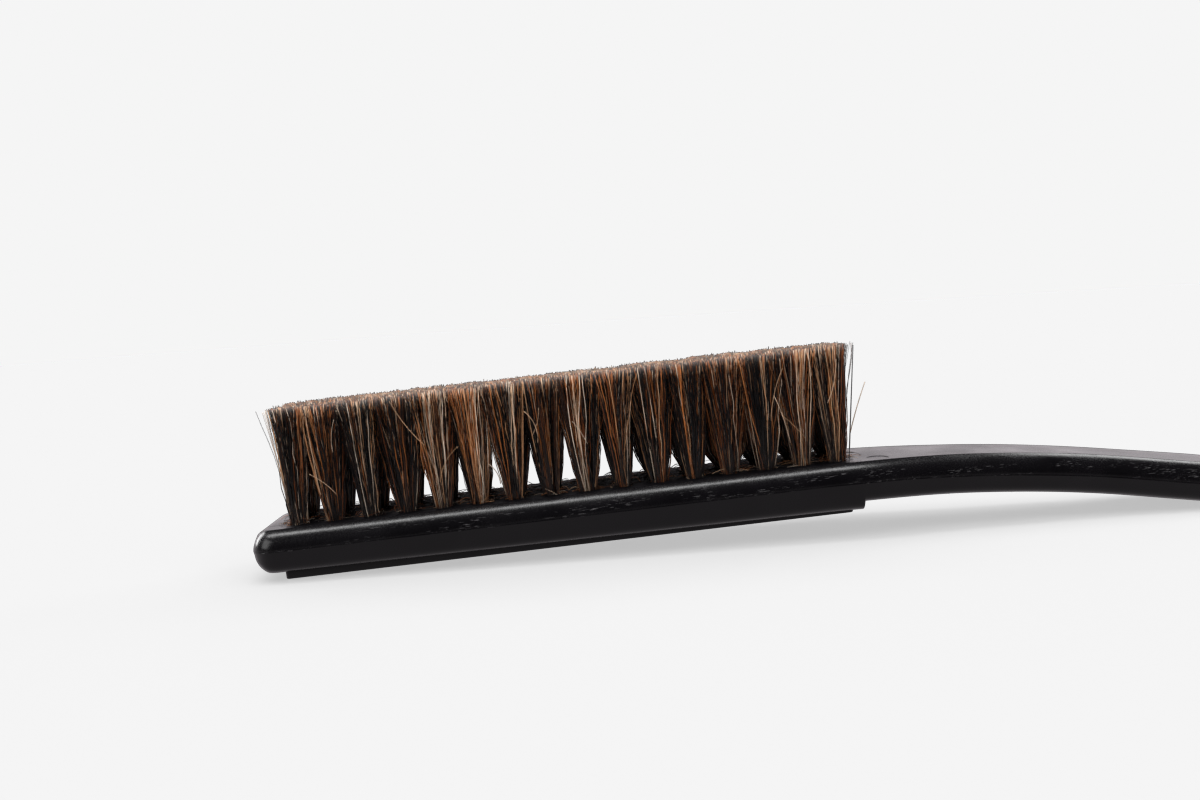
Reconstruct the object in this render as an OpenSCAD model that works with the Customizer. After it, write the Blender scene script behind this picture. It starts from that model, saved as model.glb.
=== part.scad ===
// Bee brush: a curved plastic handle moulding with three rows of stapled natural-bristle tufts.
// Millimetres. X runs from the tip to the handle, Z up through the bristles, and the origin is
// the middle of the label pad on the back.

/* [Block] */
// Length of the bristle block, from the tip to the step under the handle
block_l = 209; // [207:1:216]
// Width of the block at its parting line
block_w = 40; // [38:1:44]
// Width of the flat face that the tufts stand on
face_w = 30; // [28:0.5:31]
// Depth of the parting line below the flat face
parting_d = 6.8; // [6.2:0.1:7.4]
// Depth of the block at its tip
tip_depth = 14.5; // [14.3:0.1:15]
// Depth of the block at the step
heel_depth = 16.3; // [15.6:0.1:16.8]
// Corner radius of the tip, seen from above
tip_r = 9; // [7:0.5:11]

/* [Handle] */
// Length of the handle along its curve, from the step to its end
handle_l = 148; // [140:1:165]
// Width of the handle just past the block
neck_w = 33; // [31:0.5:35]
// Width of the handle at its narrowest, in the middle
waist_w = 30; // [28:0.5:31]
// Width of the handle at its round end
end_w = 34; // [32:0.5:36]
// Thickness of the handle
handle_t = 13.5; // [12.5:0.1:14.5]
// Radius of the bend that takes the handle away from the bristles
bend_r = 620; // [540:10:800]
// Length of that bend, along the face
bend_l = 115; // [90:1:130]
// Diameter of the hanging hole
hang_d = 8; // [6:0.5:9]

/* [Tufts] */
// Distance between tufts along a row
pitch_x = 12.5; // [12:0.1:12.5]
// Distance between rows
pitch_y = 8; // [7.6:0.1:8.2]
// Diameter of a tuft hole
hole_d = 6.5; // [5.5:0.1:6.6]
// Depth of a tuft hole
hole_depth = 11; // [9:0.5:11]
// Length of the bristles above the face
bristle_l = 40; // [30:1:50]
// Angle that the outer bristles of a tuft lean out by
flare_a = 6.2; // [4:0.1:7]
// How far the bristle tips reach past the first tuft's centre
tip_reach = 4.8; // [4:0.1:6]
// How far the bristle tips reach past the last tuft's centre
heel_reach = 7.2; // [6.3:0.1:7.5]
// How far the bristle tips reach past the centres of the outer rows
side_reach = 5.6; // [4.5:0.1:6.5]

/* [Back strip] */
// Distance from the tip to the near end of the strip
strip_start = 10.3; // [9:0.1:13]
// Length of the strip
strip_l = 195.2; // [190:0.1:195.5]
// Width of the strip
strip_w = 30; // [27:0.5:31]
// Depth of the strip's face below the bristle face
strip_depth = 17.4; // [17.2:0.1:18.5]
// Depth of the seat that the strip lies in
seat_depth = 13.8; // [13.2:0.1:13.9]
// Length of the label pad
pad_l = 31.3; // [25:0.1:40]
// Width of the label pad
pad_w = 18; // [12:0.5:24]
// Height of the label pad above the strip
pad_h = 0.4; // [0.3:0.1:0.6]

/* [Anchors] */
// Length of the flat wire anchor across the foot of each tuft
anchor_l = 8.4; // [7.4:0.1:9.4]
// Height of the anchor
anchor_h = 2; // [1.5:0.1:2.5]
// Thickness of the anchor
anchor_t = 0.35; // [0.25:0.05:0.5]

/* [Hidden] */
columns = 16;
row_names = ["front", "middle", "back"];
// Gap left round each seated piece, and between neighbouring tufts
fit_gap = 0.05;
tuft_gap = 0.2;
first_tuft = 15.6;
tip_round_l = 6;
tip_under_l = 6.5;
bottom_r = 4;
handle_bottom_r = 3.5;
side_draft = 0.7;
edge_a = 25;
shoulder_w = (block_w - face_w) / 2;
shoulder_share = 0.55;
corner_share = 0.6;
draft_share = 0.1;
handle_parting_d = 7.2;
end_round_l = 7;
step_l = 0.5;
nose_a = 10;
narrow_from = 10;
narrow_l = 48;
waist_from = 25;
waist_l = 60;
grip_from = waist_from + waist_l;
parting_l = 40;
hang_inset = 12;
anchor_lift = 0.4;
pad_middle = 108.5;
pad_sink = 0.4;
corner_r = 1.2;
total_l = block_l + handle_l;
bend_start = block_l - 17;
bend_a = bend_l / bend_r * 180 / PI;
back_depth = strip_depth + pad_h;
arc_points = 6;
$fn = 48;

plastic = [0.045, 0.043, 0.048];
strip_plastic = [0.035, 0.034, 0.037];
wire = [0.62, 0.60, 0.56];
hair = [[0.33, 0.22, 0.15], [0.27, 0.19, 0.14], [0.38, 0.27, 0.18]];

tuft_names = [for (row = row_names) for (i = [1:columns]) tuft_name(row, i)];
anchor_names = [for (row = row_names) str("anchors_", row)];

function tuft_name(row, i) = str("tuft_", row, "_", i < 10 ? "0" : "", i);
function row_y(r) = (r - 1) * pitch_y;
function tuft_x(i) = first_tuft + (i - 1) * pitch_x;
function blend(a, b, t) = let(u = min(1, max(0, t))) a + (b - a) * u * u * (3 - 2 * u);

// The face line at a distance s along it from the tip: [x, z, tilt]
function arc_angle(s) = min(bend_a, max(0, (s - bend_start) / bend_r * 180 / PI));
function straight_l(s) = max(0, s - bend_start - bend_l);
function line_at(s) =
    let(a = arc_angle(s), run = straight_l(s))
    [
        min(s, bend_start) + bend_r * sin(a) + run * cos(a),
        -bend_r * (1 - cos(a)) - run * sin(a),
        a
    ];

// How much of the full height is left in the rounded tip and the rounded handle end
function fade(d, l) = d >= l ? 1 : sqrt(1 - pow((l - d) / l * cos(nose_a), 2));

// Half of the width at the parting line
function plain_half_w(s) =
    let(
        neck = blend(block_w, neck_w, (s - bend_start - narrow_from) / narrow_l),
        waist = blend(neck, waist_w, (s - block_l - waist_from) / waist_l),
        grip = (s - block_l - grip_from) / (handle_l - grip_from - end_w / 2)
    )
    (s < block_l + grip_from ? waist : blend(waist_w, end_w, grip)) / 2;
function half_w(s) =
    s < tip_r ? plain_half_w(s) - tip_r + tip_r * sqrt(1 - pow((tip_r - s) / tip_r, 2))
    : s > total_l - end_w / 2
        ? end_w / 2 * fade(total_l - s, end_w / 2)
    : plain_half_w(s);

function under_depth(s) =
    s <= block_l ? tip_depth + (heel_depth - tip_depth) * s / block_l : handle_t;
function parting_at(s) = blend(parting_d, handle_parting_d, (s - block_l) / parting_l);

// One cross-section, counter-clockwise when seen from the handle: [y, z] about the face line.
// Its rounded shoulder starts at edge_a, so that a crease is left along the face.
function section(s) =
    let(
        w = half_w(s),
        shoulder = min(shoulder_w, shoulder_share * w),
        zp = parting_at(s),
        up = zp * fade(s, tip_round_l) * fade(total_l - s, end_round_l),
        down = (under_depth(s) - zp) * fade(s, tip_under_l) * fade(total_l - s, end_round_l),
        r = min(s <= block_l ? bottom_r : handle_bottom_r, corner_share * down),
        draft = min(side_draft, draft_share * w),
        near = [
            for (i = [0:arc_points])
                let(a = edge_a + (90 - edge_a) * i / arc_points)
                [w - shoulder * (1 - sin(a)) / (1 - sin(edge_a)), -zp + up * cos(a) / cos(edge_a)],
            for (i = [0:arc_points - 2])
                let(a = 90 * i / (arc_points - 2))
                [w - draft - r + r * cos(a), -zp - down + r - r * sin(a)]
        ]
    )
    concat(near, [for (i = [len(near) - 1:-1:0]) [-near[i][0], near[i][1]]]);

// Stations along the face line, close together where the shape turns
nose_l = max(tip_r, tip_round_l);
round_stations = [for (i = [0:7]) nose_l * (1 - cos(90 * i / 7))];
block_stations = [30, 100, 160, bend_start, block_l - 8, block_l];
neck_stations = [for (s = [block_l + step_l:6:block_l + 60]) s];
grip_stations = [for (i = [1:10]) block_l + 60 + (handle_l - 60 - end_w / 2) * i / 10];
end_stations = [for (i = [1:7]) total_l - end_w / 2 * (1 - sin(90 * i / 7))];
stations = concat(round_stations, block_stations, neck_stations, grip_stations, end_stations);

function place(s, p) =
    let(line = line_at(s))
    [line[0] + p[1] * sin(line[2]), p[0], line[1] + p[1] * cos(line[2])];

module placed() {
    translate([-pad_middle, 0, back_depth]) children();
}

// Puts children on the face at a distance s from the tip, square to the face there
module on_face(s) {
    line = line_at(s);
    translate([line[0], 0, line[1]]) rotate([0, line[2], 0]) children();
}

module moulding() {
    rings = [for (s = stations) [for (p = section(s)) place(s, p)]];
    n = len(rings[0]);
    m = len(rings);
    polyhedron(
        points = [for (ring = rings) for (p = ring) p],
        faces = concat(
            [[for (k = [0:n - 1]) k]],
            [for (j = [0:m - 2]) for (k = [0:n - 1])
                [j * n + k, (j + 1) * n + k, (j + 1) * n + (k + 1) % n, j * n + (k + 1) % n]],
            [[for (k = [n - 1:-1:0]) (m - 1) * n + k]]
        )
    );
}

// A plate with rounded corners, centred on X and Y, standing on Z = 0
module plate(l, w, h, r) {
    linear_extrude(h) {
        square([l - 2 * r, w], center = true);
        square([l, w - 2 * r], center = true);
        for (x = [-1, 1], y = [-1, 1])
            translate([x * (l / 2 - r), y * (w / 2 - r)]) circle(r);
    }
}

module anchor(gap) {
    translate([0, 0, -hole_depth + anchor_lift + anchor_h / 2])
        cube([anchor_l + 2 * gap, anchor_t + 2 * gap, anchor_h + 2 * gap], center = true);
}

module strip_blank(gap) {
    translate([strip_start + strip_l / 2, 0, -strip_depth])
        plate(strip_l + 2 * gap, strip_w + 2 * gap, strip_depth - seat_depth + gap, corner_r);
}

module pad_blank(gap) {
    translate([pad_middle, 0, -back_depth])
        plate(pad_l + 2 * gap, pad_w + 2 * gap, pad_h + pad_sink + gap, corner_r);
}

module handle_body() {
    color(plastic) placed() difference() {
        moulding();
        strip_blank(fit_gap);
        for (r = [0:2], i = [1:columns]) translate([tuft_x(i), row_y(r), 0]) {
            translate([0, 0, -hole_depth]) cylinder(d = hole_d, h = hole_depth + 1);
            anchor(fit_gap);
        }
        on_face(total_l - hang_inset)
            translate([0, 0, -handle_t - 2]) cylinder(d = hang_d, h = handle_t + 4);
    }
}

module back_strip() {
    color(strip_plastic) placed() difference() {
        strip_blank(0);
        pad_blank(fit_gap);
    }
}

module label_pad() {
    color(plastic) placed() pad_blank(0);
}

module anchors(r) {
    color(wire) placed()
        for (i = [1:columns]) translate([tuft_x(i), row_y(r), 0]) anchor(0);
}

// The space that one tuft may fill above the face, so that neighbours don't overlap
module tuft_cell(r, i) {
    low_x = i == 1 ? -tip_reach : -(pitch_x - tuft_gap) / 2;
    high_x = i == columns ? heel_reach : (pitch_x - tuft_gap) / 2;
    low_y = r == 0 ? -side_reach : -(pitch_y - tuft_gap) / 2;
    high_y = r == 2 ? side_reach : (pitch_y - tuft_gap) / 2;
    translate([low_x, low_y, -hole_depth])
        cube([high_x - low_x, high_y - low_y, hole_depth + bristle_l]);
}

module tuft(r, i) {
    root_r = hole_d / 2 - fit_gap;
    color(hair[(i + 2 * r) % 3]) placed() translate([tuft_x(i), row_y(r), 0])
        difference() {
            intersection() {
                union() {
                    translate([0, 0, -hole_depth + fit_gap])
                        cylinder(r = root_r, h = hole_depth);
                    cylinder(r1 = root_r, r2 = root_r + bristle_l * tan(flare_a), h = bristle_l);
                }
                tuft_cell(r, i);
            }
            anchor(fit_gap);
        }
}

handle_body();
back_strip();
label_pad();
for (r = [0:2]) anchors(r);
for (r = [0:2], i = [1:columns])
    tuft(r, i);
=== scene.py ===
"""Bee brush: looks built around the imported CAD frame.

Metres. X runs from the tip to the handle, Y across the brush and Z up through the bristles.
"""
import math

import bmesh
import bpy
import numpy as np
from mathutils import Matrix, Vector


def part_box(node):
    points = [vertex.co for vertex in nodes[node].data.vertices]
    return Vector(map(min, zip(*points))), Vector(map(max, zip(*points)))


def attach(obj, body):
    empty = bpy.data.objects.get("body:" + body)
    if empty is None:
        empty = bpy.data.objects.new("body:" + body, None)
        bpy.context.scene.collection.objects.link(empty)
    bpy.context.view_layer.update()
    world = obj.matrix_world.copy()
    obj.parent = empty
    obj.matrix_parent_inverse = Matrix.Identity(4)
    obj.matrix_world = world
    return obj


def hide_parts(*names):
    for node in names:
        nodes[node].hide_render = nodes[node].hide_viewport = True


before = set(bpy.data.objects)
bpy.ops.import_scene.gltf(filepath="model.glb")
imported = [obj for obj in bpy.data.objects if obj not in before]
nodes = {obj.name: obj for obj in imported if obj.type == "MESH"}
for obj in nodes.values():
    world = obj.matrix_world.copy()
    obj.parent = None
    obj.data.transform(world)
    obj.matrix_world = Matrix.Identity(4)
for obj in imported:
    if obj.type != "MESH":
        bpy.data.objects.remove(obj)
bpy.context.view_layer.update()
scene = bpy.context.scene
MM = 0.001

# ------------------------------------------------------------------ places read from the frame
body_low, body_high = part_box("handle_body")
strip_low, strip_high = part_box("back_strip")
pad_low, pad_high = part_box("label_pad")
tip_x = body_low.x
face_z = body_high.z
brush_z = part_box("tuft_middle_08")[1].z
ROWS = ("front", "middle", "back")
COLUMNS = 16

# ------------------------------------------------------------------ sizes of the moulding, in mm
BLOCK_L, BLOCK_W, FACE_W = 209.0, 40.0, 30.0
PARTING_D, HANDLE_PARTING_D = 6.8, 7.2
TIP_DEPTH, HEEL_DEPTH, HANDLE_T = 14.5, 16.3, 13.5
TIP_R, TIP_ROUND_L, TIP_UNDER_L, END_ROUND_L = 9.0, 6.0, 6.5, 7.0
HANDLE_L, NECK_W, WAIST_W, END_W = 148.0, 33.0, 30.0, 34.0
BEND_R, BEND_L = 620.0, 115.0
BOTTOM_R, HANDLE_BOTTOM_R, SIDE_DRAFT, NOSE_A = 4.0, 3.5, 0.7, 10.0
EDGE_A = math.radians(25)
NARROW_FROM, NARROW_L, WAIST_FROM, WAIST_L, PARTING_L = 10.0, 48.0, 25.0, 60.0, 40.0
SHOULDER_SHARE, CORNER_SHARE, DRAFT_SHARE = 0.55, 0.6, 0.1
STEP_L, HANG_INSET, HANG_R = 0.5, 12.0, 4.0
HOLE_R, HOLE_DEPTH, BRISTLE_L = 3.25, 11.0, 40.0
ANCHOR_L, ANCHOR_H, ANCHOR_T, ANCHOR_LIFT = 8.4, 2.0, 0.35, 0.4
SEAT_GAP, SEAT_CORNER, HOLE_RIM, HANG_RIM = 0.05, 1.2, 0.4, 0.8
MARK_X, MARK_Y, MARK_R = 217.0, -9.5, 3.8
GROOVE_Y, GROOVE_W, GROOVE_D, GROOVE_FROM = 8.2, 0.35, 0.2, 3.0
TOTAL_L = BLOCK_L + HANDLE_L
BEND_START = BLOCK_L - 17.0
SHOULDER_W = (BLOCK_W - FACE_W) / 2
GRIP_FROM = BLOCK_L + WAIST_FROM + WAIST_L

# ------------------------------------------------------------------ the hair, in mm
STRANDS, CLUMPS, RINGS = 430, 34, 9
ROOT_R, ROOT_DEPTH, FALLEN = 3.0, 4.0, 36
REACH_X, REACH_Y, TIP_REACH, HEEL_REACH = 9.0, 5.5, 4.0, 6.0
FULL_BACK, FULL_FROM = 0.42, 11
FULLER_BACK, FULLER_FROM = 0.2, 13
LOOSE_SHARE, SHORT_SHARE, STRAY_SHARE, OWN_TONE_SHARE = 0.2, 0.06, 0.11, 0.45
CLUMP_ROOT, CLUMP_TIP, CLUMP_BOW, CLUMP_LEAN = 0.17, 0.13, 0.35, 0.45
TIP_SCATTER, TIP_PAST, CUT_SCATTER, TUFT_SCATTER = 0.35, 0.3, 0.22, 0.15
BOW, WAVE, DRIFT, DRIFT_ACROSS = 0.22, 0.26, 2.6, 0.6
THIN, THICK, FINE_SHARE, TAPER = 0.085, 0.175, 0.7, 0.28
TONE_BANDS = ((0.0, 0.34), (0.38, 0.56), (0.58, 0.76), (0.78, 1.0))
TONE_SHARES = (0.53, 0.15, 0.15, 0.17)
HAIR_TONES = (
    (0.00, (0.0025, 0.0025, 0.0035)),
    (0.34, (0.006, 0.0055, 0.006)),
    (0.42, (0.030, 0.014, 0.008)),
    (0.55, (0.070, 0.026, 0.011)),
    (0.62, (0.30, 0.078, 0.014)),
    (0.74, (0.52, 0.18, 0.045)),
    (0.86, (0.72, 0.42, 0.22)),
    (1.00, (0.95, 0.82, 0.66)),
)
LOOSE_SEED, LOOSE_MOST = 5000, 2
TIP_HAIRS, CLEAR, STAGGER = 3, 1.5, 0.1
FIELD_EDGE = 4.0 * MM
WORLD_FRONT, WORLD_BACK, WORLD_TOP, WORLD_LOW = 0.03, 1.05, 0.02, 0.62


def blend(a, b, t):
    t = min(1.0, max(0.0, t))
    return a + (b - a) * t * t * (3 - 2 * t)


def line_at(s):
    """The face line at a distance s along it from the tip: x, z and its downward tilt."""
    angle = min(BEND_L, max(0.0, s - BEND_START)) / BEND_R
    run = max(0.0, s - BEND_START - BEND_L)
    x = min(s, BEND_START) + BEND_R * math.sin(angle) + run * math.cos(angle)
    z = -BEND_R * (1 - math.cos(angle)) - run * math.sin(angle)
    return x, z, angle


def fade(d, length):
    """How much of the full height is left d from the end of a rounded nose."""
    if d >= length:
        return 1.0
    return math.sqrt(1 - ((length - d) / length * math.cos(math.radians(NOSE_A))) ** 2)


def plain_half_w(s):
    if s < GRIP_FROM:
        narrow = blend(BLOCK_W, NECK_W, (s - BEND_START - NARROW_FROM) / NARROW_L)
        return blend(narrow, WAIST_W, (s - BLOCK_L - WAIST_FROM) / WAIST_L) / 2
    return blend(WAIST_W, END_W, (s - GRIP_FROM) / (TOTAL_L - GRIP_FROM - END_W / 2)) / 2


def half_w(s):
    if s < TIP_R:
        return plain_half_w(s) - TIP_R + TIP_R * math.sqrt(1 - ((TIP_R - s) / TIP_R) ** 2)
    if s > TOTAL_L - END_W / 2:
        return END_W / 2 * fade(TOTAL_L - s, END_W / 2)
    return plain_half_w(s)


def under_depth(s):
    if s <= BLOCK_L:
        return TIP_DEPTH + (HEEL_DEPTH - TIP_DEPTH) * s / BLOCK_L
    return HANDLE_T


def to_frame(x, y, z):
    """A point in mm from the tip and the bristle face, as a point of the frame."""
    return (tip_x + x * MM, y * MM, face_z + z * MM)


# ------------------------------------------------------------------ meshes
def make_object(name, verts, faces):
    mesh = bpy.data.meshes.new(name)
    mesh.from_pydata([tuple(v) for v in verts], [], [tuple(f) for f in faces])
    mesh.validate()
    obj = bpy.data.objects.new(name, mesh)
    scene.collection.objects.link(obj)
    return obj


def shade(obj, sharp_angle):
    """Smooth shading that keeps edges sharper than an angle, in degrees."""
    obj.data.shade_smooth()
    obj.data.set_sharp_from_angle(angle=math.radians(sharp_angle))


def bake_modifiers(obj):
    graph = bpy.context.evaluated_depsgraph_get()
    mesh = bpy.data.meshes.new_from_object(obj.evaluated_get(graph), depsgraph=graph)
    obj.modifiers.clear()
    old = obj.data
    obj.data = mesh
    mesh.name = obj.name
    bpy.data.meshes.remove(old)


def cut_away(obj, cutter):
    """Subtracts a closed cutter from a closed object and removes the cutter."""
    step = obj.modifiers.new("cut", "BOOLEAN")
    step.operation = "DIFFERENCE"
    step.solver = "EXACT"
    step.object = cutter
    bake_modifiers(obj)
    bpy.data.objects.remove(cutter)


def section(s, rise, groove):
    """One ring of the moulding in mm, from the face's edge on one side round the back to the other."""
    w = half_w(s)
    shoulder = min(SHOULDER_W, SHOULDER_SHARE * w)
    zp = blend(PARTING_D, HANDLE_PARTING_D, (s - BLOCK_L) / PARTING_L)
    ends = fade(TOTAL_L - s, END_ROUND_L)
    up = zp * fade(s, TIP_ROUND_L) * ends
    down = (under_depth(s) - zp) * fade(s, TIP_UNDER_L) * ends
    r = min(BOTTOM_R if s <= BLOCK_L else HANDLE_BOTTOM_R, CORNER_SHARE * down)
    draft = min(SIDE_DRAFT, DRAFT_SHARE * w)
    step = min(groove, 0.2 * up)
    half = [(w - shoulder, up - zp), (w - shoulder + 0.04, up - zp - step)]
    arc = 16
    for i in range(1, arc):
        a = EDGE_A + (math.pi / 2 - EDGE_A) * i / arc
        out = shoulder * (1 - math.sin(a)) / (1 - math.sin(EDGE_A))
        half.append((w - out, (up - step) * math.cos(a) / math.cos(EDGE_A) - zp))
    lip = min(0.16, 0.1 * up)
    half += [(w, lip - zp), (w + rise, -zp), (w + 0.02, -lip - zp)]
    low = 9
    for i in range(low + 1):
        a = math.pi / 2 * i / low
        half.append((w - draft - r + r * math.cos(a), r - r * math.sin(a) - zp - down))
    return half + [(-y, z) for y, z in reversed(half)]


def stations():
    """Distances along the face line, close together where the shape turns."""
    nose = [TIP_R * (1 - math.cos(math.pi / 2 * i / 24)) for i in range(24)]
    block = list(np.linspace(TIP_R, BLOCK_L, 81))
    neck = list(np.linspace(BLOCK_L + STEP_L, TOTAL_L - END_W / 2, 66))
    end = [TOTAL_L - END_W / 2 * (1 - math.sin(math.pi / 2 * i / 18)) for i in range(1, 19)]
    return nose + block + neck + end


def make_moulding():
    rng = np.random.default_rng(7)
    rings = stations()
    flash = np.convolve(rng.random(len(rings) + 4), np.ones(3) / 3, "same")
    verts = []
    for j, s in enumerate(rings):
        x, z, tilt = line_at(s)
        for y, h in section(s, 0.02 + 0.07 * flash[j], 0.1):
            verts.append(to_frame(x + h * math.sin(tilt), y, z + h * math.cos(tilt)))
    n = len(verts) // len(rings)
    faces = [tuple(range(n))]
    for j in range(len(rings) - 1):
        for k in range(n):
            a, b = j * n + k, j * n + (k + 1) % n
            faces.append((a, a + n, b + n, b))
    faces.append(tuple(range(len(verts) - 1, len(verts) - n - 1, -1)))
    return make_object("handle_moulding", verts, faces)


def tube_mesh(profile, centre, x_axis, z_axis, steps):
    """Vertices and faces of a closed turned solid. profile is (radius, height) from top to bottom."""
    y_axis = z_axis.cross(x_axis)
    verts = []
    for radius, height in profile:
        for i in range(steps):
            a = 2 * math.pi * i / steps
            out = x_axis * math.cos(a) + y_axis * math.sin(a)
            verts.append(centre + (out * radius + z_axis * height) * MM)
    faces = [tuple(range(steps))]
    for j in range(len(profile) - 1):
        for i in range(steps):
            a, b = j * steps + i, j * steps + (i + 1) % steps
            faces.append((a, a + steps, b + steps, b))
    faces.append(tuple(range(len(verts) - 1, len(verts) - steps - 1, -1)))
    return verts, faces


def box_mesh(low, high):
    verts = [(x, y, z) for z in (high[2], low[2]) for x, y in
             ((low[0], low[1]), (high[0], low[1]), (high[0], high[1]), (low[0], high[1]))]
    faces = [(0, 1, 2, 3), (7, 6, 5, 4)] + [(i, i + 4, (i + 1) % 4 + 4, (i + 1) % 4) for i in range(4)]
    return verts, faces


def merged(name, parts):
    verts, faces = [], []
    for part_verts, part_faces in parts:
        start = len(verts)
        verts += list(part_verts)
        faces += [tuple(start + i for i in f) for f in part_faces]
    return make_object(name, verts, faces)


def tuft_centre(row, column):
    """Middle of a tuft's foot on the bristle face, from the boxes of its row of anchors."""
    low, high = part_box("anchors_" + ROWS[row])
    pitch = (high.x - low.x - ANCHOR_L * MM) / (COLUMNS - 1)
    return Vector((low.x + ANCHOR_L / 2 * MM + pitch * (column - 1), (low.y + high.y) / 2, face_z))


CENTRES = [[tuft_centre(row, i) for i in range(1, COLUMNS + 1)] for row in range(3)]


# ------------------------------------------------------------------ plastic pieces
def ring_profile(radius, rim, depth):
    """A hole's cutter with a rounded rim: (radius, height) from above the face to the floor of the hole."""
    arc = [(radius + rim * (1 - math.sin(a)), rim * (math.cos(a) - 1))
           for a in np.linspace(0, math.pi / 2, 6)]
    return [(radius + rim + 0.25, 1.0), (radius + rim + 0.02, 0.02)] + arc[1:] + [(radius, -depth)]


def hang_cutter():
    """The hanging hole's cutter, through the handle and square to its face, rounded at both rims."""
    x, z, tilt = line_at(TOTAL_L - HANG_INSET)
    axis = Vector((math.sin(tilt), 0, math.cos(tilt)))
    along = Vector((math.cos(tilt), 0, -math.sin(tilt)))
    top = ring_profile(HANG_R, HANG_RIM, HANDLE_T / 2)[:-1]
    bottom = [(r, -HANDLE_T - h) for r, h in reversed(top)]
    return tube_mesh(top + bottom, Vector(to_frame(x, 0, z)), along, axis, 64)


def plate_mesh(low, high, corner, bevel, steps=6):
    """A plate with rounded corners whose lower and upper edges are rounded over."""
    cx, cy = (low.x + high.x) / 2, (low.y + high.y) / 2
    hx, hy = (high.x - low.x) / 2, (high.y - low.y) / 2

    def ring(inset, z):
        r = max(corner - inset, 0.1 * MM)
        points = []
        for quarter, (sx, sy) in enumerate(((1, 1), (-1, 1), (-1, -1), (1, -1))):
            for i in range(steps + 1):
                a = math.pi / 2 * (quarter + i / steps)
                points.append((cx + sx * (hx - inset - r) + r * math.cos(a),
                               cy + sy * (hy - inset - r) + r * math.sin(a), z))
        return points

    arc = [math.pi / 2 * i / 4 for i in range(5)]
    rings = [ring(bevel * (1 - math.cos(a)), high.z - bevel + bevel * math.sin(a)) for a in reversed(arc)]
    rings += [ring(bevel * (1 - math.cos(a)), low.z + bevel - bevel * math.sin(a)) for a in arc]
    n = len(rings[0])
    verts = [p for r in rings for p in r]
    faces = [tuple(range(n))]
    for j in range(len(rings) - 1):
        for k in range(n):
            a, b = j * n + k, j * n + (k + 1) % n
            faces.append((a, a + n, b + n, b))
    faces.append(tuple(range(len(verts) - 1, len(verts) - n - 1, -1)))
    return verts, faces


def build_plastic():
    moulding = make_moulding()
    down, along = Vector((0, 0, 1)), Vector((1, 0, 0))
    holes = [tube_mesh(ring_profile(HOLE_R, HOLE_RIM, HOLE_DEPTH), c, along, down, 40)
             for row in CENTRES for c in row]
    gap = Vector((1, 1, 1)) * SEAT_GAP * MM
    seat_low, seat_high = strip_low - gap, strip_high + gap
    seat_low.z -= 1 * MM
    seat = plate_mesh(seat_low, seat_high, SEAT_CORNER * MM, 0.05 * MM)
    mark = ejector_mark()
    cut_away(moulding, merged("hole_cutter", holes + [seat, hang_cutter(), mark]))
    slots = []
    for row in CENTRES:
        for c in row:
            half = Vector((ANCHOR_L / 2 + SEAT_GAP, ANCHOR_T / 2 + SEAT_GAP, 0)) * MM
            foot = c.z - (HOLE_DEPTH - ANCHOR_LIFT) * MM
            slots.append(box_mesh((c.x - half.x, c.y - half.y, foot - SEAT_GAP * MM),
                                  (c.x + half.x, c.y + half.y, foot + (ANCHOR_H + SEAT_GAP) * MM)))
    cut_away(moulding, merged("slot_cutter", slots + groove_cutters()))
    return moulding


def ejector_mark():
    """A cutter for the round mark that an ejector pin left on the face beside the last tuft."""
    x, z, tilt = line_at(MARK_X)
    centre = Vector(to_frame(x, MARK_Y, z))
    axis = Vector((math.sin(tilt), 0, math.cos(tilt)))
    along = Vector((math.cos(tilt), 0, -math.sin(tilt)))
    return tube_mesh([(MARK_R + 0.1, 1.0), (MARK_R, -0.15)], centre, along, axis, 48)


def groove_cutters():
    """Shallow lines that the mould's insert left between the tip and the first holes."""
    parts = []
    for side in (-1, 1):
        y = side * GROOVE_Y
        half = GROOVE_W / 2
        start, end = GROOVE_FROM, CENTRES[0][0].x / MM - tip_x / MM - HOLE_R
        section_yz = ((y - half, 0.5), (y + half, 0.5), (y + half, 0.0), (y, -GROOVE_D), (y - half, 0.0))
        verts = [to_frame(x, py, pz) for x in (start, end) for py, pz in section_yz]
        n = len(section_yz)
        faces = [tuple(range(n))] + [(k, k + n, (k + 1) % n + n, (k + 1) % n) for k in range(n)]
        faces.append(tuple(range(2 * n - 1, n - 1, -1)))
        parts.append((verts, faces))
    return parts


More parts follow.
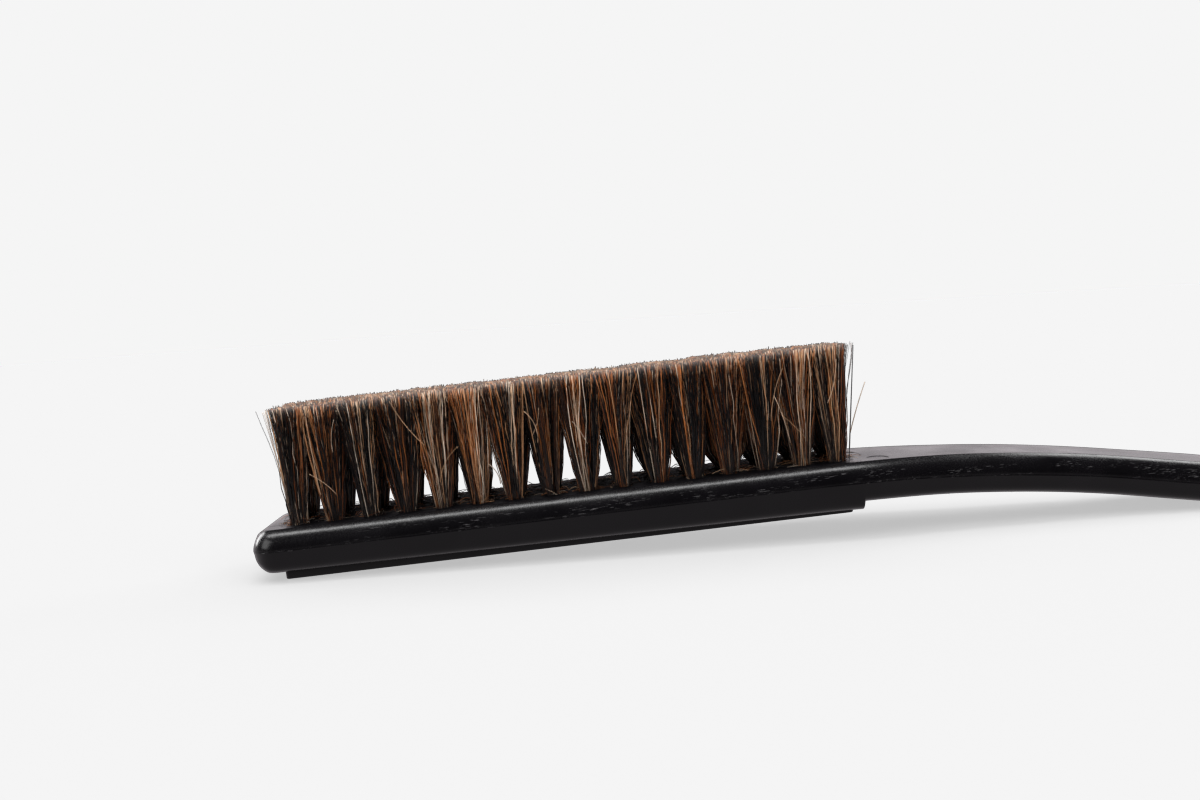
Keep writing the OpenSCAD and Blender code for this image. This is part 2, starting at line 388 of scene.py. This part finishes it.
# ------------------------------------------------------------------ bristles
def strands_object(name, paths, radii, tones):
    """One mesh of closed three-sided strands. paths is (strand, ring, xyz) and radii (strand, ring)."""
    n, k, _ = paths.shape
    tangent = np.gradient(paths, axis=1)
    tangent /= np.linalg.norm(tangent, axis=2, keepdims=True)
    spin = np.arange(n) * 2.399963
    span = paths[:, -1] - paths[:, 0]
    level = np.abs(span[:, 2]) < 0.5 * np.linalg.norm(span, axis=1)
    ref = np.stack([np.cos(spin), np.sin(spin), np.zeros(n)], 1)
    ref[level] = (0, 0, 1)
    u = ref[:, None, :] - (ref[:, None, :] * tangent).sum(2, keepdims=True) * tangent
    u /= np.linalg.norm(u, axis=2, keepdims=True)
    v = np.cross(tangent, u)
    angles = np.array([0, 2, 4]) * math.pi / 3
    around = (u[:, :, None, :] * np.cos(angles)[None, None, :, None]
              + v[:, :, None, :] * np.sin(angles)[None, None, :, None])
    verts = paths[:, :, None, :] + around * radii[:, :, None, None]
    base = np.arange(n)[:, None, None] * k * 3
    ring, side = np.arange(k - 1)[None, :, None] * 3, np.arange(3)[None, None, :]
    a, b = base + ring + side, base + ring + (side + 1) % 3
    quads = np.stack([a, b, b + 3, a + 3], -1).reshape(-1)
    first = (np.arange(n) * k * 3)[:, None]
    last = first + (k - 1) * 3
    caps = np.concatenate([first + np.array([2, 1, 0]), last + np.array([0, 1, 2])]).reshape(-1)
    mesh = bpy.data.meshes.new(name)
    n_quads, n_caps = n * (k - 1) * 3, 2 * n
    mesh.vertices.add(n * k * 3)
    mesh.vertices.foreach_set("co", verts.reshape(-1).astype(np.float32))
    mesh.loops.add(len(quads) + len(caps))
    mesh.loops.foreach_set("vertex_index", np.concatenate([quads, caps]).astype(np.int32))
    mesh.polygons.add(n_quads + n_caps)
    starts = np.concatenate([np.arange(n_quads) * 4, len(quads) + np.arange(n_caps) * 3])
    mesh.polygons.foreach_set("loop_start", starts.astype(np.int32))
    mesh.polygons.foreach_set("use_smooth", np.arange(n_quads + n_caps) < n_quads)
    mesh.update(calc_edges=True)
    tone = mesh.attributes.new("tone", "FLOAT", "POINT")
    tone.data.foreach_set("value", np.repeat(tones, k * 3).astype(np.float32))
    obj = bpy.data.objects.new(name, mesh)
    scene.collection.objects.link(obj)
    return obj


def disc(rng, n, radius=1.0):
    r, a = radius * np.sqrt(rng.random(n)), 2 * math.pi * rng.random(n)
    return np.stack([r * np.cos(a), r * np.sin(a)], 1)


def draw_tones(rng, n):
    """Tones in the shares the hair has: black, dark brown, auburn and blond."""
    low, high = np.array(TONE_BANDS)[rng.choice(len(TONE_BANDS), n, p=TONE_SHARES)].T
    return low + (high - low) * rng.random(n)


def tuft_strands(row, column, rng):
    """Paths, radii and tones of one tuft's bristles, in mm about its foot."""
    clump = disc(rng, CLUMPS)
    clump_tone = draw_tones(rng, CLUMPS)
    clump_bow = rng.normal(0, CLUMP_BOW, (CLUMPS, 2))
    clump_lean = rng.normal(0, CLUMP_LEAN, (CLUMPS, 2))
    pick = rng.integers(0, CLUMPS, STRANDS)
    root = clump[pick] + rng.normal(0, CLUMP_ROOT, (STRANDS, 2))
    root /= np.maximum(1, np.linalg.norm(root, axis=1))[:, None]
    spread = clump[pick] + rng.normal(0, CLUMP_TIP, (STRANDS, 2))
    loose = rng.random(STRANDS) < LOOSE_SHARE
    spread = np.where(loose[:, None], disc(rng, STRANDS), spread)
    spread /= np.maximum(1, np.linalg.norm(spread, axis=1))[:, None]
    reach_low = TIP_REACH if column == 1 else REACH_X
    reach_high = HEEL_REACH if column == COLUMNS else REACH_X
    reach_x = np.where(spread[:, 0] < 0, reach_low, reach_high)
    tip = np.stack([reach_x * spread[:, 0], REACH_Y * spread[:, 1]], 1)
    tip += clump_lean[pick] + rng.normal(0, TIP_SCATTER, (STRANDS, 2))
    tip[:, 0] = np.clip(tip[:, 0], -reach_low - TIP_PAST, reach_high + TIP_PAST)
    tip[:, 1] = np.clip(tip[:, 1], -REACH_Y - TIP_PAST, REACH_Y + TIP_PAST)
    top = BRISTLE_L + rng.normal(0, CUT_SCATTER, STRANDS) + rng.normal(0, TUFT_SCATTER)
    short = rng.random(STRANDS) < SHORT_SHARE
    top = np.where(short, BRISTLE_L * rng.uniform(0.35, 0.97, STRANDS), top)
    t = np.linspace(0, 1, RINGS - 1) ** 0.9
    buried = np.full((STRANDS, 1), -ROOT_DEPTH)
    z = np.concatenate([buried, np.zeros((STRANDS, 1)), top[:, None] * t[None, 1:]], 1)
    up = np.clip(z / BRISTLE_L, 0, 1.05)
    foot = root * ROOT_R
    full = 1.0
    if row > 0 and column >= FULL_FROM:
        full = FULL_BACK if column < FULLER_FROM else FULLER_BACK
    xy = foot[:, None, :] + (tip - foot)[:, None, :] * (up ** full)[:, :, None]
    bow = clump_bow[pick] + rng.normal(0, BOW, (STRANDS, 2))
    xy += bow[:, None, :] * np.sin(math.pi * up)[:, :, None]
    wave = rng.normal(0, WAVE, (STRANDS, 2))
    turn = rng.uniform(0, 2 * math.pi, (STRANDS, 1))
    cycles = rng.uniform(1.2, 2.6, (STRANDS, 1))
    ripple = (np.sin(2 * math.pi * up * cycles + turn) - np.sin(turn)) * (up > 0)
    xy += wave[:, None, :] * ripple[:, :, None]
    stray = rng.random(STRANDS) < STRAY_SHARE
    drift = rng.normal(0, DRIFT, (STRANDS, 2)) * stray[:, None]
    drift[:, 1] *= DRIFT_ACROSS
    xy += drift[:, None, :] * (up ** 1.6)[:, :, None]
    paths = np.concatenate([xy, z[:, :, None]], 2)
    thick = rng.uniform(THIN, THICK, STRANDS)
    thick = np.where(stray | short, thick * FINE_SHARE, thick)
    radii = thick[:, None] * (1 - TAPER * up)
    tones = np.clip(clump_tone[pick] + rng.normal(0, 0.06, STRANDS), 0, 1)
    tones = np.where(rng.random(STRANDS) < OWN_TONE_SHARE, draw_tones(rng, STRANDS), tones)
    return paths, radii, tones


def fallen_hairs(rng):
    """Short curved hairs that lie about a tuft's foot."""
    n = FALLEN
    a = rng.uniform(0, 2 * math.pi, n)
    bend = rng.uniform(-1.2, 1.2, n)
    length, rise = rng.uniform(1.5, 6.5, n), 2.2 * rng.random(n) ** 2
    s = np.linspace(0, 1, RINGS)
    heading = a[:, None] + bend[:, None] * s[None, :]
    out = ROOT_R * 0.8 + length[:, None] * s[None, :]
    x, y = out * np.cos(heading), out * np.sin(heading) * 0.5
    z = 0.15 + rise[:, None] * np.sin(math.pi * (0.1 + 0.8 * s))[None, :]
    radii = rng.uniform(0.05, 0.10, n)[:, None] * np.ones(RINGS)
    return np.stack([x, y, z], 2), radii, draw_tones(rng, n)


def loose_hairs(column):
    """Hairs that stand clear of a front tuft: curved ones, three that lean past the tip, one at the heel."""
    rng = np.random.default_rng(LOOSE_SEED + column)
    hairs = []
    for _ in range(rng.integers(0, LOOSE_MOST + 1)):
        x, z = rng.uniform(-0.5, 0.5) * REACH_X, rng.uniform(0.1, 0.6) * BRISTLE_L
        heading, turn, length = rng.uniform(-0.8, 0.8), rng.uniform(-1, 1), rng.uniform(0.2, 0.5) * BRISTLE_L
        hairs.append((x, z, heading, turn, length, rng.uniform(0.08, 0.15), rng.uniform(0.85, 1)))
    if column == 1:
        for i in range(1, TIP_HAIRS + 1):
            length = BRISTLE_L * (1 - STAGGER * i)
            lean = math.atan2(TIP_REACH + CLEAR * i / TIP_HAIRS - ROOT_R / 2, length)
            hairs.append((-ROOT_R / 2, BRISTLE_L - length, -lean, 0, length, 0.07, 0.95))
    if column == COLUMNS:
        lean = math.atan2(HEEL_REACH + CLEAR - ROOT_R, BRISTLE_L)
        hairs.append((ROOT_R, 0, lean, 0, BRISTLE_L, 0.19, 0.05))
    x, z, heading, turn, length, thick, tones = np.array(hairs, float).reshape(-1, 7).T[:, :, None]
    angle = heading + turn * np.linspace(0, 1, RINGS)
    step = length / (RINGS - 1)
    run = np.cumsum(np.sin(angle) * step, 1) - np.sin(angle[:, :1]) * step
    rise = np.cumsum(np.cos(angle) * step, 1) - np.cos(angle[:, :1]) * step
    y = np.broadcast_to(np.linspace(0.8, -0.6, RINGS) - REACH_Y, run.shape)
    return np.stack([x + run, y, z + rise], 2), thick * np.linspace(1, 0.6, RINGS), tones[:, 0]


def build_tufts():
    made = []
    for row, name in enumerate(ROWS):
        for column in range(1, COLUMNS + 1):
            rng = np.random.default_rng(1000 * row + column)
            groups = [tuft_strands(row, column, rng), fallen_hairs(rng)]
            if row == 0:
                groups.append(loose_hairs(column))
            paths, radii, tones = (np.concatenate(part) for part in zip(*groups))
            node = f"tuft_{name}_{column:02d}"
            centre = np.array(CENTRES[row][column - 1])
            made.append((strands_object(node + "_hair", paths * MM + centre, radii * MM, tones), node))
    return made


# ------------------------------------------------------------------ materials
class Graph:
    """A small helper for building a material's nodes."""

    def __init__(self, name):
        self.material = bpy.data.materials.new(name)
        self.material.use_nodes = True
        self.tree = self.material.node_tree
        self.shader = self.tree.nodes["Principled BSDF"]

    def node(self, kind, values=None, **settings):
        made = self.tree.nodes.new(kind)
        for key, value in settings.items():
            setattr(made, key, value)
        for key, value in (values or {}).items():
            if isinstance(value, bpy.types.NodeSocket):
                self.tree.links.new(value, made.inputs[key])
            else:
                made.inputs[key].default_value = value
        return made

    def math(self, operation, a, b=0.0, clamp=False):
        return self.node("ShaderNodeMath", {0: a, 1: b}, operation=operation, use_clamp=clamp).outputs[0]

    def spread(self, value, low, high, to_low=0.0, to_high=1.0):
        return self.node("ShaderNodeMapRange", {0: value, 1: low, 2: high, 3: to_low, 4: to_high}).outputs[0]

    def noise(self, scale, detail=3.0, rough=0.5):
        """3-D noise stretched by scale = cells per metre along X, Y and Z."""
        place = self.node("ShaderNodeTexCoord").outputs["Object"]
        place = self.node("ShaderNodeMapping", {"Vector": place, "Scale": scale}).outputs[0]
        values = {"Vector": place, "Scale": 1.0, "Detail": detail, "Roughness": rough}
        return self.node("ShaderNodeTexNoise", values).outputs["Fac"]

    def mix(self, factor, a, b, kind="MIX"):
        made = self.node("ShaderNodeMix", {"Factor": factor}, data_type="RGBA", blend_type=kind)
        for socket, value in ((made.inputs[6], a), (made.inputs[7], b)):
            if isinstance(value, bpy.types.NodeSocket):
                self.tree.links.new(value, socket)
            else:
                socket.default_value = value
        return made.outputs[2]

    def ramp(self, value, stops):
        made = self.node("ShaderNodeValToRGB", {0: value})
        band = made.color_ramp
        while len(band.elements) < len(stops):
            band.elements.new(0.5)
        for element, (place, colour) in zip(band.elements, stops):
            element.position = place
            element.color = (*colour, 1)
        return made.outputs[0]

    def set(self, **values):
        for key, value in values.items():
            socket = self.shader.inputs[key.replace("_", " ")]
            if isinstance(value, bpy.types.NodeSocket):
                self.tree.links.new(value, socket)
            else:
                socket.default_value = value


def hair_material():
    g = Graph("bristle_hair")
    tone = g.node("ShaderNodeAttribute", attribute_name="tone").outputs["Fac"]
    colour = g.ramp(tone, HAIR_TONES)
    streak = g.noise((2600, 2600, 90), 2.0)
    streaks = g.ramp(streak, ((0.3, (0.62, 0.6, 0.58)), (0.7, (1.25, 1.22, 1.2))))
    colour = g.mix(1.0, colour, streaks, "MULTIPLY")
    place = g.node("ShaderNodeTexCoord").outputs["Object"]
    height = g.node("ShaderNodeSeparateXYZ", {0: place}).outputs[2]
    # painted shade: over its lowest 20 mm the hair is mixed towards near-black, most at the tuft's foot on
    # the face
    low = g.spread(height, face_z, face_z + 0.02, 1.0, 0.0)
    colour = g.mix(g.math("MULTIPLY", low, 0.55), colour, (0.035, 0.03, 0.028, 1))
    cut = g.spread(height, brush_z - 0.0012, brush_z - 0.0002, 0.0, 1.0)
    colour = g.mix(g.math("MULTIPLY", cut, 0.22), colour, (0.24, 0.18, 0.15, 1))
    g.set(Base_Color=colour, Roughness=0.34, Specular_IOR_Level=0.3)
    return g.material


def plastic_material(name, base, rough, scuffs):
    g = Graph(name)
    normal = g.node("ShaderNodeNewGeometry").outputs["Normal"]
    facing = g.node("ShaderNodeSeparateXYZ", {0: normal}).outputs[2]
    rounding = g.math("MULTIPLY", g.spread(facing, 0.03, 0.12), g.spread(facing, 0.8, 0.55), True)
    cloud = g.noise((60, 60, 60), 4.0)
    grain = g.noise((1800, 1800, 1800), 3.0)
    streak = g.noise((330, 4200, 4200), 2.0, 0.5)
    patch = g.noise((40, 260, 260), 2.0)
    peel = g.noise((420, 420, 420), 2.0)
    worn = g.math("MULTIPLY", g.spread(streak, 0.61, 0.68), g.spread(patch, 0.5, 0.58), True)
    worn = g.math("MULTIPLY", worn, rounding, True)
    worn = g.math("MULTIPLY", worn, scuffs, True)
    dark = g.ramp(cloud, ((0.3, [c * 0.8 for c in base]), (0.7, [c * 1.25 for c in base])))
    colour = g.mix(worn, dark, (0.10, 0.097, 0.10, 1))
    roughness = g.spread(cloud, 0.3, 0.7, rough - 0.05, rough + 0.06)
    roughness = g.math("ADD", roughness, g.spread(grain, 0.3, 0.7, -0.04, 0.05))
    roughness = g.math("ADD", roughness, g.math("MULTIPLY", worn, 0.25), True)
    height = g.math("ADD", g.math("MULTIPLY", grain, 0.25), peel)
    bump = g.node("ShaderNodeBump", {"Strength": 0.35, "Distance": 0.0001, "Height": height})
    place = g.node("ShaderNodeTexCoord").outputs["Object"]
    along = g.node("ShaderNodeSeparateXYZ", {0: place}).outputs[0]
    # painted shade: between the first and last tuft the flat face is made rougher and almost unreflective, so
    # it renders dark among the tufts
    first, last = CENTRES[1][0].x, CENTRES[1][-1].x
    from_first = g.spread(along, first - FIELD_EDGE, first)
    to_last = g.spread(along, last + FIELD_EDGE, last)
    shaded_field = g.math("MULTIPLY", from_first, to_last, True)
    shaded_field = g.math("MULTIPLY", shaded_field, g.spread(facing, 0.93, 0.97), True)
    roughness = g.math("ADD", roughness, g.math("MULTIPLY", shaded_field, 0.35), True)
    specular = g.spread(shaded_field, 0.0, 1.0, 0.22, 0.02)
    g.set(Base_Color=colour, Roughness=roughness, Normal=bump.outputs[0], Specular_IOR_Level=specular)
    return g.material


def wire_material():
    g = Graph("anchor_steel")
    drawn = g.noise((90, 3000, 900), 3.0)
    colour = g.ramp(drawn, ((0.35, (0.42, 0.40, 0.37)), (0.65, (0.62, 0.60, 0.56))))
    g.set(Base_Color=colour, Metallic=1.0, Roughness=g.spread(drawn, 0.3, 0.7, 0.28, 0.45))
    return g.material


# ------------------------------------------------------------------ pieces on their bodies
def dress(obj, material, slot, *nodes_replaced):
    obj.data.materials.clear()
    obj.data.materials.append(material)
    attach(obj, "root")
    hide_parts(*nodes_replaced)


black = plastic_material("black_moulding", (0.0036, 0.0032, 0.0040), 0.24, 0.8)
strip_black = plastic_material("strip_moulding", (0.0022, 0.0020, 0.0024), 0.42, 0.3)
hair = hair_material()
wire = wire_material()

moulding = build_plastic()
shade(moulding, 32)
dress(moulding, black, "black_plastic", "handle_body")
strip = merged("strip_plate", [plate_mesh(strip_low, strip_high, SEAT_CORNER * MM, 0.35 * MM)])
pad_cut = plate_mesh(pad_low - Vector((1, 1, 5)) * SEAT_GAP * MM,
                     pad_high + Vector((1, 1, 1)) * SEAT_GAP * MM,
                     SEAT_CORNER * MM, 0.02 * MM)
cut_away(strip, merged("pad_cutter", [pad_cut]))
shade(strip, 40)
dress(strip, strip_black, "strip_plastic", "back_strip")
pad = merged("pad_plate", [plate_mesh(pad_low, pad_high, SEAT_CORNER * MM, 0.15 * MM)])
shade(pad, 40)
dress(pad, strip_black, "black_plastic", "label_pad")
for obj, node in build_tufts():
    dress(obj, hair, "bristle", node)
for row in ROWS:
    node = nodes["anchors_" + row]
    for slot_index in range(len(node.material_slots)):
        node.material_slots[slot_index].material = wire

# ------------------------------------------------------------------ camera
camera = bpy.data.objects.new("camera", bpy.data.cameras.new("camera"))
scene.collection.objects.link(camera)
camera.data.lens = 30.47
camera.data.sensor_width = 36
camera.data.clip_start = 0.01
turn = Matrix.Rotation(math.radians(-1.46), 4, "Z") @ Matrix.Rotation(math.radians(90 - 5.59), 4, "X")
turn = turn @ Matrix.Rotation(math.radians(-6.43), 4, "Z")
camera.matrix_world = Matrix.Translation((0.0058, -0.3561, 0.0823)) @ turn
scene.camera = camera


# ------------------------------------------------------------------ floor and light
def make_floor():
    """A wide pale floor, tilted so that the strip's end and the handle's end both rest on it."""
    verts = np.array([v.co for v in nodes["handle_body"].data.vertices])
    rest = np.array((strip_low.x, strip_low.z))
    far = verts[verts[:, 0] > rest[0] + 0.2]
    slope = ((far[:, 2] - rest[1]) / (far[:, 0] - rest[0])).min()
    radius, steps = 4.0, 96
    ring = [(radius * math.cos(2 * math.pi * i / steps), radius * math.sin(2 * math.pi * i / steps))
            for i in range(steps)]
    drop = 0.0002
    points = [(x, y, rest[1] - drop + slope * (x - rest[0])) for x, y in ring]
    floor = make_object("floor", points, [tuple(range(steps))])
    g = Graph("floor_pale")
    g.set(Base_Color=(0.8, 0.8, 0.8, 1), Roughness=0.9)
    floor.data.materials.append(g.material)
    floor.is_shadow_catcher = True
    # WORLD_LOW sets what the brush gets back from the floor, so the floor itself stays out of reflections
    floor.visible_diffuse = False
    floor.visible_glossy = False
    return floor


def area_light(name, azimuth, elevation, distance, size, watts, target):
    light = bpy.data.lights.new(name, "AREA")
    light.shape = "RECTANGLE"
    light.size, light.size_y = size
    light.energy = watts
    obj = bpy.data.objects.new(name, light)
    scene.collection.objects.link(obj)
    a, e = math.radians(azimuth), math.radians(elevation)
    away = Vector((math.sin(a) * math.cos(e), -math.cos(a) * math.cos(e), math.sin(e)))
    obj.location = target + away * distance
    obj.rotation_euler = away.to_track_quat("Z", "Y").to_euler()
    obj.visible_camera = False
    return obj


def make_world():
    world = bpy.data.worlds.new("studio")
    scene.world = world
    world.use_nodes = True
    tree = world.node_tree
    tree.nodes.clear()

    def node(kind, values=None, **settings):
        made = tree.nodes.new(kind)
        for key, value in settings.items():
            setattr(made, key, value)
        for key, value in (values or {}).items():
            if isinstance(value, bpy.types.NodeSocket):
                tree.links.new(value, made.inputs[key])
            else:
                made.inputs[key].default_value = value
        return made

    direction = node("ShaderNodeTexCoord").outputs["Generated"]
    split = node("ShaderNodeSeparateXYZ", {0: direction})
    behind = node("ShaderNodeMapRange", {0: split.outputs[1], 1: -0.1, 2: 0.6, 3: WORLD_FRONT, 4: WORLD_BACK})
    high = node("ShaderNodeMapRange", {0: split.outputs[2], 1: 0.3, 2: 0.6, 3: 1.0, 4: 0.0})
    low = node("ShaderNodeMath", {0: behind.outputs[0], 1: high.outputs[0]}, operation="MULTIPLY")
    over = node("ShaderNodeMapRange", {0: split.outputs[2], 1: 0.25, 2: 0.75, 3: 0.0, 4: WORLD_TOP})
    above = node("ShaderNodeMath", {0: low.outputs[0], 1: over.outputs[0]}, operation="ADD")
    ground = node("ShaderNodeMapRange", {0: split.outputs[2], 1: -0.02, 2: 0.0, 3: 1.0, 4: 0.0})
    level = node("ShaderNodeMix", {0: ground.outputs[0], 2: above.outputs[0], 3: WORLD_LOW})
    glow = node("ShaderNodeBackground", {"Color": (1, 0.93, 0.97, 1), "Strength": level.outputs[0]})
    plain = node("ShaderNodeBackground", {"Color": (0.913, 0.913, 0.913, 1), "Strength": 1.0})
    seen = node("ShaderNodeLightPath").outputs["Is Camera Ray"]
    both = node("ShaderNodeMixShader", {0: seen, 1: glow.outputs[0], 2: plain.outputs[0]})
    node("ShaderNodeOutputWorld", {0: both.outputs[0]})


scene.view_settings.view_transform = "Standard"
floor = make_floor()
make_world()
middle = Vector((0.0, 0.0, 0.03))
area_light("overhead", 180, 89, 0.9, (1.1, 0.2), 12, middle - Vector((0.09, 0, 0)))
area_light("left", -60, 28, 1.0, (0.5, 0.7), 5.5, middle)
right = area_light("right", 58, 26, 1.0, (0.5, 0.7), 4.5, middle)
right.visible_glossy = False
area_light("rim_left", -118, 22, 0.8, (0.2, 0.5), 4.0, middle)
area_light("rim_right", 116, 24, 0.8, (0.2, 0.5), 3.0, middle)
fill = area_light("floor_fill", 0, 90, 1.6, (3.0, 3.0), 800, middle)
only = bpy.data.collections.new("floor_only")
only.objects.link(floor)
fill.light_linking.receiver_collection = only
fill.light_linking.blocker_collection = only
